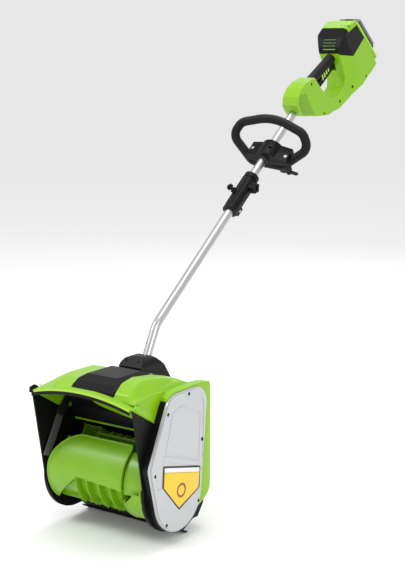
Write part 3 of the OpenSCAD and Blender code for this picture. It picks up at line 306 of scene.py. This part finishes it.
def rim(circles, steps=14):
    """A closed outline round circles (x, y, r) listed anticlockwise: arcs joined along their outer tangents. With d
    the vector from one centre to the next and k the drop in radius over its length, the tangent's normal is k times
    d's direction plus the root of 1 - k^2 times d's direction turned clockwise by a right angle."""
    c = np.array(circles, float)
    nxt = np.roll(c, -1, 0)
    d = nxt[:, :2] - c[:, :2]
    length = np.hypot(*d.T)
    k = (c[:, 2] - nxt[:, 2]) / length
    m = np.sqrt(1 - k * k)
    normal = np.stack([k * d[:, 0] / length + m * d[:, 1] / length, k * d[:, 1] / length - m * d[:, 0] / length], 1)
    after = np.arctan2(normal[:, 1], normal[:, 0])
    before = np.roll(after, 1)
    sweep = (after - before) % (2 * math.pi)
    t = before[:, None] + sweep[:, None] * np.linspace(0, 1, steps)[None, :]
    return np.stack([c[:, :1] + c[:, 2:] * np.cos(t), c[:, 1:2] + c[:, 2:] * np.sin(t)], -1).reshape(-1, 2)


def side_world(flat, x):
    """(Y, Z) in millimetres from the axle, at X, to world metres."""
    return np.column_stack([np.full(len(flat), x * MM), AXLE[1] + flat[:, 0] * MM, AXLE[2] + flat[:, 1] * MM])


def sheet(outer, inner):
    """Points and faces of a closed sheet: two grids (n, m, 3) and the wall round their border."""
    n, m = outer.shape[:2]
    i, j = np.meshgrid(np.arange(n - 1), np.arange(m - 1), indexing="ij")
    a = i * m + j
    top = np.stack([a, a + 1, a + m + 1, a + m], -1).reshape(-1, 4)
    low = top[:, ::-1] + n * m
    k = np.arange(n * m).reshape(n, m)
    edge = np.concatenate([k[0, :-1], k[:-1, -1], k[-1, :0:-1], k[:0:-1, 0]])
    nxt = np.roll(edge, -1)
    wall = np.stack([edge, nxt, nxt + n * m, edge + n * m], -1)
    return np.vstack([outer.reshape(-1, 3), inner.reshape(-1, 3)]), np.vstack([top, low, wall]).tolist()


def join(parts):
    """One point list and one face list out of several."""
    points, faces, start = [], [], 0
    for p, f in parts:
        points.append(np.asarray(p, float))
        faces += [[v + start for v in face] for face in f]
        start += len(p)
    return np.vstack(points), faces


def ramp(x):
    """Smooth step: 3x^2 - 2x^3 between 0 and 1."""
    x = np.clip(x, 0, 1)
    return x * x * (3 - 2 * x)


def round_axle(x, r, phi):
    """X along the axle, radius and angle from +Y towards +Z, all in millimetres and radians, to world metres."""
    return np.stack([x * MM + 0 * r, AXLE[1] + r * np.cos(phi) * MM, AXLE[2] + r * np.sin(phi) * MM], -1)


# ---------------------------------------------------------------- operators

class SHOVEL_OT_finishes(bpy.types.Operator):
    """Gives every node of the frame its finish"""
    bl_idname = "shovel.finishes"
    bl_label = "Finishes"

    def execute(self, context):
        make_finishes(context.scene.shovel_colours)
        slots = {row["node"]: row["material_slot"] for row in frame["record"]["subparts"]}
        for node, obj in frame["nodes"].items():
            obj.data.materials.clear()
            obj.data.materials.append(FINISHES[slots[node]])
        return {"FINISHED"}


class SHOVEL_OT_rotor(bpy.types.Operator):
    """Two paddles on opposite sides of a hub, each a curved fan with a rolled rim, a fold and ribbed pockets"""
    bl_idname = "shovel.rotor"
    bl_label = "Rotor"

    def execute(self, context):
        low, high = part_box("rotor_paddles")
        half = (high[0] - low[0]) / MM / 2
        reach, hub, root = 98.0, 14, 11  # radii: the paddles' tips, the hub, where webs and walls start inside it
        end = 0.6 * half  # where the fan stops and the narrow blade begins
        # rows of constant angle from the top edge to the heel; Z of a row on the full radius is reach * sin(phi)
        phi = np.radians(np.linspace(113.2, 236, 96))[:, None]
        z = reach * np.sin(phi)
        # the fan's rounded corners: the height where each arc starts and its radius
        (top_z, top_r), (low_z, low_r), (end_z, end_r) = (14.2, 76), (-60.8, 30), (78.2, 12)
        top_arc = -half + top_r - np.sqrt(np.clip(top_r ** 2 - (z - top_z) ** 2, 0, None))
        low_arc = -half + low_r - np.sqrt(np.clip(low_r ** 2 - (z - low_z) ** 2, 0, None))
        end_arc = end - end_r + np.sqrt(np.clip(end_r ** 2 - (z - end_z) ** 2, 0, None))
        left = np.where(z > top_z, top_arc, np.where(z < low_z, low_arc, -half))
        right = np.where(z > end_z, end_arc, end)
        ribs = np.array([-58.6, -22.0, 14.7, 51.0, 84.0])
        u = np.linspace(0, 1, 210)[None, :]
        x = left + (right - left) * u
        # the rim stands proud; below the fold, z = the lesser of two slopes times (x - fold_x), the sheet drops
        proud, drop, fold_x, slope_a, slope_b = 2.2, 17, -53, -0.07, 0.855
        border = np.minimum(np.minimum(x - left, right - x), reach * (phi - phi[0]))
        fold = np.minimum(slope_a * (x - fold_x), slope_b * (x - fold_x))
        pocket = ramp((fold - z) / 4)
        rib = ramp((2.4 - np.abs(x[..., None] - ribs).min(-1)) / 1.0)
        lift = ramp((4 - np.abs(fold - z - 1)) / 3)
        outer = reach - proud * ramp((border - proud) / 2.5) + 1.2 * lift * (1 - pocket)
        outer = np.where(pocket > 0, outer - drop * pocket * (1 - 0.92 * rib), outer)
        outer = np.minimum(outer, reach)
        heel = ramp((reach * (phi - phi[-1]) + 3.5) / 1.5)
        outer = outer + (reach - 9 - outer) * heel * pocket
        inner = reach - 6 - drop * ramp((fold - z + 4) / 4)
        flat = np.broadcast_to(phi, x.shape)
        parts = [sheet(round_axle(x, outer, flat), round_axle(x, inner, flat))]
        # webs down to the hub, thicker at the hub
        for at in (-0.8 * half, -8.0, end - 6):
            a, r = np.meshgrid(np.radians(np.linspace(119, 230, 40)), np.linspace(root, reach - 5, 12), indexing="ij")
            r = np.where(np.sin(a) < 0, np.minimum(r, reach - 20), r)
            thick = 2.0 + 1.5 * ramp((30 - r) / 14)
            parts.append(sheet(round_axle(at - thick, r, a), round_axle(at + thick, r, a)))
        # the narrow blade beside the fan, with a curved front edge
        a, s = np.meshgrid(np.radians(np.linspace(186, 243, 40)), np.linspace(0, 1, 24), indexing="ij")
        start = end + 6 + 26 * ramp((np.radians(206) - a) / np.radians(20))
        bx = start + (half - start) * s
        parts.append(sheet(round_axle(bx, reach - 0.4 - 1.6 * ramp((bx - start - 2) / 2), a),
                           round_axle(bx, reach - 5 + 0 * a, a)))
        # the sheet above it, which widens from the fan's end to the rotor's end
        a, s = np.meshgrid(np.radians(np.linspace(121, 192, 50)), np.linspace(0, 1, 24), indexing="ij")
        bx = end + 1 + (half - 2 - end) * s * ramp((a - np.radians(112)) / np.radians(26))
        parts.append(sheet(round_axle(bx, reach - 9 - 6 * s, a), round_axle(bx, reach - 14 - 6 * s, a)))
        # the second tier: smaller ribs on a floor that runs on under the pockets
        x2 = np.linspace(-95, end + 2, 180)[None, :]
        a = np.radians(np.linspace(232, 251, 24))[:, None]
        tier = ramp((1.9 - np.abs((x2 + 88) % 24.5 - 12.2)) / 0.9)
        keep = ramp((np.radians(250) - a) / np.radians(3)) * ramp((x2 + 92) / 8)
        r2 = reach - 16 + 9 * tier * keep + 0 * a
        x2, a = np.broadcast_to(x2, r2.shape), np.broadcast_to(a, r2.shape)
        parts.append(sheet(round_axle(x2, r2, a), round_axle(x2, reach - 21 + 0 * r2, a)))
        # walls at the narrow blade's two ends
        a, r = np.meshgrid(np.radians(np.linspace(178, 242, 32)), np.linspace(root, reach - 1, 14), indexing="ij")
        parts.append(sheet(round_axle(half - 3.6 + 0 * a, r, a), round_axle(half - 0.1 + 0 * a, r, a)))
        a, r = np.meshgrid(np.radians(np.linspace(200, 242, 32)), np.linspace(root, reach - 1.5, 14), indexing="ij")
        parts.append(sheet(round_axle(end + 1.2 + 0 * a, r, a), round_axle(end + 5.2 + 0 * a, r, a)))
        points, faces = join(parts)
        # the second paddle is the first one reflected through the axle's middle
        for name, sign in (("paddle_a", 1), ("paddle_b", -1)):
            piece = put_mesh(name, AXLE + sign * (points - AXLE), faces, "rotor", "rotor_green", smooth=40)
            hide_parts("rotor_paddles")
        xs = np.linspace(-half, half, 60)
        t = np.linspace(0, 2 * math.pi, 48, endpoint=False)
        r = hub - 1.2 * ramp((half - 3 - np.abs(xs)) / 2)
        rings = round_axle(xs[:, None], r[:, None] + 0 * t[None, :], t[None, :] + 0 * xs[:, None])
        piece = put_mesh("rotor_hub", *loft(rings), "rotor", "rotor_green")
        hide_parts("rotor_paddles")
        return {"FINISHED"}


def plate(circles, levels, to_world=side_world):
    """A plate whose outline runs round circles; each level draws the outline in by an inset at a height."""
    return loft([to_world(rim([(y, z, max(r - inset, 0.05)) for y, z, r in circles], 8), x) for inset, x in levels])


class SHOVEL_OT_label(bpy.types.Operator):
    """A blank five-sided label with a plain ring on the belt cover, the strip over it and the panel's inner bead"""
    bl_idname = "shovel.label"
    bl_label = "Cover label"

    def execute(self, context):
        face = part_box("belt_cover")[1][0] / MM
        under = face - 1.4  # the layers' hidden backs lie in the cover

        def layer(name, corners, high, colour, rough=0.4):
            put_mesh(name, *plate(corners, [(0, under), (0, high - 0.05), (0.15, high)]), "frame", "silver_cover",
                     finish(name + "_print", colour, rough, bump=0.00001, Dust=0.0), smooth=20)

        layer("label_border", [(88, 23, 3), (-52, 57, 3), (-56, 8, 3), (5, -60, 3), (85, -27, 3)], face + 0.05,
              (0.02, 0.02, 0.02))
        layer("label_field", [(85, 9, 2), (-49, 42, 2), (-52, 8, 2), (5, -55, 2), (81, -26, 2)], face + 0.12,
              (0.86, 0.58, 0.03))
        layer("label_band", [(85, 20, 2), (-49, 53, 2), (-49, 45, 2), (85, 12, 2)], face + 0.12, (0.80, 0.80, 0.78))
        # a plain ring about its own middle
        middle, inside, outside = np.array([14.0, -16.0]), 12.5, 18
        t = np.linspace(0, 2 * math.pi, 48, endpoint=False)
        wave = np.stack([np.cos(t), np.sin(t)], 1)
        section = (inside, under), (inside, face + 0.2), (outside, face + 0.2), (outside, under)
        rings = np.stack([side_world(middle + r * wave, x) for r, x in section], 1)
        red = finish("label_ring_print", (0.28, 0.05, 0.02), 0.4, bump=0.00001)
        put_mesh("label_ring", *loft(rings, torus=True), "frame", "silver_cover", red, smooth=20)
        # the strip above the label and the panel's inner bead
        put_mesh("cover_strip", *plate([(89, 36, 2), (-50, 83, 2), (-56, 74, 2), (88, 27, 2)],
                                       [(0, under), (0, face - 0.9), (1.5, face)]), "frame", "silver_cover", smooth=20)
        corners = [(86, 44, 2), (80, 150, 14), (18, 172, 20), (-4, 168, 16), (-42, 90, 4)]
        line = rim(corners, 10)
        inner = rim([(y, z, r - 1.9) for y, z, r in corners], 10)
        rings = np.stack([side_world(line, under), side_world(line, face - 0.4), side_world(inner, face - 0.4),
                          side_world(inner, under)], 1)
        put_mesh("cover_bead", *loft(rings, torus=True), "frame", "silver_cover", smooth=20)
        return {"FINISHED"}


def lip_height(x):
    """Height in millimetres over the axle of the roof's front edge at X: the roof's arch of radius 600 tilted by 13
    degrees, cut by the sloped left shoulder, whose top is the common tangent of circles 28 and 12 in radius."""
    crown, radius, tilt = 232, 600.0, math.radians(13)
    arch = crown - (radius - np.sqrt(radius ** 2 - x ** 2)) / math.cos(tilt)
    shoulder = rim([(-150, -104, 8), (150, -104, 8), (130, 218, 28), (-105, 218, 28), (-146, 200, 12)], 24)
    upper = shoulder[shoulder[:, 1] > 120]
    order = np.argsort(upper[:, 0])
    return np.minimum(arch, np.interp(x, upper[order, 0], upper[order, 1]))


class SHOVEL_OT_lip(bpy.types.Operator):
    """The bead and the black strip that follow the hood's lip, with a black tip at the left end"""
    bl_idname = "shovel.lip"
    bl_label = "Hood lip"

    def execute(self, context):
        band = context.scene.shovel_sizes.lip_band / MM
        front = -142.0
        x = np.linspace(-155.5, 156.0, 90)
        top = lip_height(x)

        def strip(name, slot, up, down, y0, y1, x0, x1):
            k = (x >= x0) & (x <= x1)
            xs, z = x[k], top[k]
            corners = [(y0, -up), (y0, -down), (y0 + 0.5, -down - 0.4), (y1, -down - 0.4), (y1, -up + 0.4),
                       (y0 + 0.5, -up + 0.4)]
            rings = np.array([[(a * MM, AXLE[1] + y * MM, AXLE[2] + (b + d) * MM) for y, d in corners]
                              for a, b in zip(xs, z)])
            put_mesh(name, *loft(rings), "frame", slot, smooth=30)

        strip("lip_bead", "bright_green_plastic", 0.4, band - 2, front - 0.4, front + 2, -148, 155)
        # a black strip along the underside of the lip's front edge
        strip("lip_black_strip", "black_plastic", band - 1.5, band + 6, front - 0.3, front + 2, -150, 155)
        strip("lip_tip", "black_plastic", 0.6, band + 6, front - 0.6, front + 3, -155, -143)
        # the tip's cheek covers the front end of the hood's side rib
        put_mesh("lip_cheek", *plate([(-113, 213, 2), (-124, 220, 2), (-138, 217, 2), (-139, 207, 2),
                                      (-122, 207, 2)], [(1, -161.0), (0, -160.7), (0, -155)]),
                 "frame", "black_plastic", smooth=20)
        return {"FINISHED"}


def rear_world(flat, x):
    """(along the pole from the rear handle's nose, across it upwards) in millimetres, at X, to world metres."""
    p = NOSE[None, :] + (flat[:, :1] * POLE_DIR[None, :] + flat[:, 1:2] * POLE_UP[None, :]) * MM
    p[:, 0] = x * MM
    return p


class SHOVEL_OT_trims(bpy.types.Operator):
    """The wrap round the belt housing, the hood's humps, the left side plate's facets in painted light and shade and a
    black sheet of painted shadow in the mouth
    """
    bl_idname = "shovel.trims"
    bl_label = "Head trims"

    def execute(self, context):
        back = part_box("belt_cover")[0][0] / MM
        # wrap: a band round the belt housing's rim, from the front of its top over and down the back
        circles = [(8, -26, 90), (75, 180, 46), (4, 175, 50), (-80, 58, 25)]
        line = rim(circles, 60)
        over = rim([(y, z, r + 1) for y, z, r in circles], 60) - line
        k = np.arange(26, 3 * 60 - 18)
        line, over = line[k], over[k]
        fade = ramp(np.minimum(np.arange(len(k)), np.arange(len(k))[::-1]) / 8)[:, None]
        profile = [(0.25, 150), (0.25, back + 1.5), (2.2, back + 2.2), (5.4, back - 1), (5.6, back - 5), (5.6, 150)]
        rear, thick = 146, 5.6  # at the back the band reaches out to one plane
        deeper = np.zeros_like(line)
        deeper[:, 0] = np.clip(rear - thick - line[:, 0], 0, None) * ramp((line[:, 0] - 78) / 22)
        rings = np.stack([side_world(line + over * 0.25 + (over * (r - 0.25) + deeper * min(r / 5.4, 1) * (r > 1))
                                     * (0.15 + 0.85 * fade), x) for r, x in profile], 1)
        put_mesh("hood_wrap", *loft(rings), "frame", "green_plastic", smooth=35)
        # humps on either side of the motor cover: Z = roof + (P(Y) - roof) times a ramp up and a ramp down across X;
        # rise is where the ramp up starts and its width, fall the same for the ramp down and its share of the height
        roof, under = 222, 219.0
        for name, x0, x1, rise, fall, ys, zs in (
                ("hump_right", 90, 157, (88, 8), (132, 26, 0.8), (-128, -122, -98, -60, 10, 60, 105),
                 (224, 238, 258, 265, 257, 244, 224)),
                ("hump_left", -118, -37, (-120, 42), (-30, 9, 0), (-139, -119, -93, -50, 20, 60, 100),
                 (222, 243, 250, 249, 246, 238, 222))):
            gx, gy = np.meshgrid(np.linspace(x0, x1, 50), np.linspace(ys[0], ys[-1], 90), indexing="ij")
            top = roof + (np.interp(gy, ys, zs) - roof) * ramp((gx - rise[0]) / rise[1]) \
                * (1 - fall[2] * ramp((gx - fall[0]) / fall[1]))
            low = np.full_like(top, under)
            grid = [np.stack([gx * MM, AXLE[1] + gy * MM, AXLE[2] + h * MM], -1) for h in (top, low)]
            put_mesh(name, *sheet(*grid), "frame", "green_plastic", smooth=14)
        # facets on the inner face of the left side plate: a grey step that is a painted highlight on a lit bevel, and
        # a black band above it in painted shade
        left = -149.6
        levels = [(0, left - 0.5), (0, left + 1.2), (1.2, left + 1.8)]
        put_mesh("wing_step_left_highlight", *plate([(-37, 122, 2), (-55, 132, 2), (-105, 42, 2), (-84, 34, 2)], levels),
                 "frame", "black_plastic", finish("facet_painted_highlight", (0.085, 0.085, 0.09), 0.4), smooth=20)
        put_mesh("wing_band_left_shade", *plate([(2, 170, 3), (-8, 186, 3), (-53, 138, 3), (-36, 125, 3)], levels),
                 "frame", "black_plastic", finish("facet_painted_shade", (0.012, 0.012, 0.013), 0.4), smooth=20)
        # painted shadow: a thin black sheet under the left part of the deflector where the hood shades it, its right
        # border a swept curve
        y = np.array([-113.0, -28, 5, 13])
        z = np.array([221.0, 193, 147, 112])
        t = np.linspace(0, 3, 40)
        py, pz = np.interp(t, range(4), y), np.interp(t, range(4), z)
        # both layers are shifted forwards and down, square to the curve
        ny, nz = np.abs(np.gradient(pz)), np.abs(np.gradient(py))
        size = np.hypot(ny, nz)
        ny, nz = ny / size, nz / size
        u = np.linspace(0, 1, 60)[None, :]
        edge = (-70 + 200 * ramp((t - 1.5) / 1.4))[:, None]
        x = -153 + (edge + 153) * u

        def shifted(d):
            return np.stack([x * MM, AXLE[1] + (py - ny * d)[:, None] * MM + 0 * x,
                             AXLE[2] + (pz - nz * d)[:, None] * MM + 0 * x], -1)

        put_mesh("mouth_shadow_sheet", *sheet(shifted(1.6), shifted(0.4)), "frame", "black_plastic", smooth=30)
        return {"FINISHED"}


class SHOVEL_OT_rear(bpy.types.Operator):
    """Facet panels of painted shade, a darker copy of the shell green, on both sides of the rear handle's nose and
    pale strokes on the sides of its grip
    """
    bl_idname = "shovel.rear"
    bl_label = "Rear handle facets"

    def execute(self, context):
        nose_x, grip_x = 25.3, 12.5  # half widths where the panels and the strokes lie
        # painted shade: the nose panels take the shell green darkened to 0.72
        shaded_green = finish("facet_painted_shade_green", tuple(0.72 * v for v in context.scene.shovel_colours.green), 0.4, Dust=0.0)
        pale = finish("facet_pale", (0.42, 0.66, 0.05), 0.35, Dust=0.0)
        for side, name in ((1, "right"), (-1, "left")):
            def put(label, corners, x, material, slot):
                levels = [(0, side * (x - 0.6)), (0, side * (x + 0.25)), (1.0, side * (x + 0.6))]
                piece = plate(corners, levels, rear_world)
                put_mesh(label + "_" + name, *piece, "upper_pole", slot, material, smooth=20)
            put("nose_shade_facet", [(70, -60, 3), (60, 20, 4), (30, 38, 4), (14, 22, 4), (16, -14, 4)], nose_x, shaded_green,
                "green_plastic")
            for k in range(4):
                y = 172 + 13 * k
                stroke = [(y, -16, 1.2), (y + 4, -3, 1.2), (y, -3, 1.2), (y - 4, -16, 1.2)]
                put("grip_slot%d" % k, stroke, grip_x, pale, "bright_green_plastic")
        return {"FINISHED"}


def aim(obj, place, right, back):
    """Puts an object at a place, with its own X along right and its own Z along back, which are unit vectors."""
    turn = Matrix(np.column_stack([right, np.cross(back, right), back]).tolist())
    obj.matrix_world = Matrix.Translation(place.tolist()) @ turn.to_4x4()


class SHOVEL_OT_stage(bpy.types.Operator):
    """Pale floor, soft light and the camera"""
    bl_idname = "shovel.stage"
    bl_label = "Stage"

    def execute(self, context):
        size = 40.0  # half the floor's side
        mesh = bpy.data.meshes.new("floor")
        mesh.from_pydata([(-size, -size, 0), (size, -size, 0), (size, size, 0), (-size, size, 0)], [], [(0, 1, 2, 3)])
        floor = bpy.data.objects.new("floor", mesh)
        context.scene.collection.objects.link(floor)
        pale = bpy.data.materials.new("floor_pale")
        pale.use_nodes = True
        sockets = pale.node_tree.nodes["Principled BSDF"].inputs
        for key, value in (("Base Color", (0.92, 0.92, 0.92, 1)), ("Roughness", 0.9), ("Specular IOR Level", 0.0),
                           ("Emission Color", (1, 1, 1, 1)), ("Emission Strength", 0.065)):
            sockets[key].default_value = value
        mesh.materials.append(pale)

        world = bpy.data.worlds.new("studio")
        world.use_nodes = True
        world.node_tree.nodes["Background"].inputs["Color"].default_value = (1, 1, 1, 1)
        world.node_tree.nodes["Background"].inputs["Strength"].default_value = 0.80
        context.scene.world = world
        context.scene.view_settings.view_transform = "Standard"

        middle = np.array([0.0, 0.3, 0.5])  # what every lamp is turned to
        for name, place, across, power in (("key", (-2.0, -2.2, 3.4), 1.4, 56), ("fill", (3.0, -1.0, 2.0), 1.6, 22),
                                           ("top", (0.2, 0.4, 3.8), 2.0, 34), ("back", (-0.8, 3.4, 2.4), 1.6, 22)):
            light = bpy.data.lights.new(name, "AREA")
            light.shape = "DISK"
            light.size = across
            light.energy = power
            lamp = bpy.data.objects.new(name, light)
            place = np.array(place)
            back = (place - middle) / np.linalg.norm(place - middle)
            right = np.cross([0, 0, 1], back)
            right /= np.linalg.norm(right)
            aim(lamp, place, right, back)
            context.scene.collection.objects.link(lamp)

        around, above = math.radians(36), math.radians(10)  # the camera's azimuth and elevation
        back = np.array([math.sin(around) * math.cos(above), -math.cos(around) * math.cos(above), math.sin(above)])
        right = np.array([math.cos(around), math.sin(around), 0.0])
        data = bpy.data.cameras.new("camera")
        data.sensor_width, data.lens = 36.0, 83.13
        camera = bpy.data.objects.new("camera", data)
        from_axle = np.array([1.979, -2.370, 1.018])
        aim(camera, AXLE + from_axle, right, back)
        context.scene.collection.objects.link(camera)
        context.scene.camera = camera
        return {"FINISHED"}


class SHOVEL_PT_panel(bpy.types.Panel):
    """Lists the pieces"""
    bl_label = "Snow shovel"
    bl_idname = "SHOVEL_PT_panel"
    bl_space_type = "VIEW_3D"
    bl_region_type = "UI"
    bl_category = "Shovel"

    def draw(self, context):
        for group in (context.scene.shovel_colours, context.scene.shovel_sizes):
            for key in group.__annotations__:
                self.layout.prop(group, key)
        for operator in OPERATORS:
            self.layout.operator(operator.bl_idname)


OPERATORS = [SHOVEL_OT_finishes, SHOVEL_OT_rotor, SHOVEL_OT_label, SHOVEL_OT_lip, SHOVEL_OT_trims, SHOVEL_OT_rear,
             SHOVEL_OT_stage]
CLASSES = [ShovelColours, ShovelSizes, *OPERATORS, SHOVEL_PT_panel]


def register():
    for cls in CLASSES:
        bpy.utils.register_class(cls)
    bpy.types.Scene.shovel_colours = PointerProperty(type=ShovelColours)
    bpy.types.Scene.shovel_sizes = PointerProperty(type=ShovelSizes)


def unregister():
    del bpy.types.Scene.shovel_colours
    del bpy.types.Scene.shovel_sizes
    for cls in reversed(CLASSES):
        bpy.utils.unregister_class(cls)


def main():
    """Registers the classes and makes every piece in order."""
    register()
    for operator in OPERATORS:
        group, name = operator.bl_idname.split(".")
        getattr(getattr(bpy.ops, group), name)()


if __name__ == "__main__":
    main()
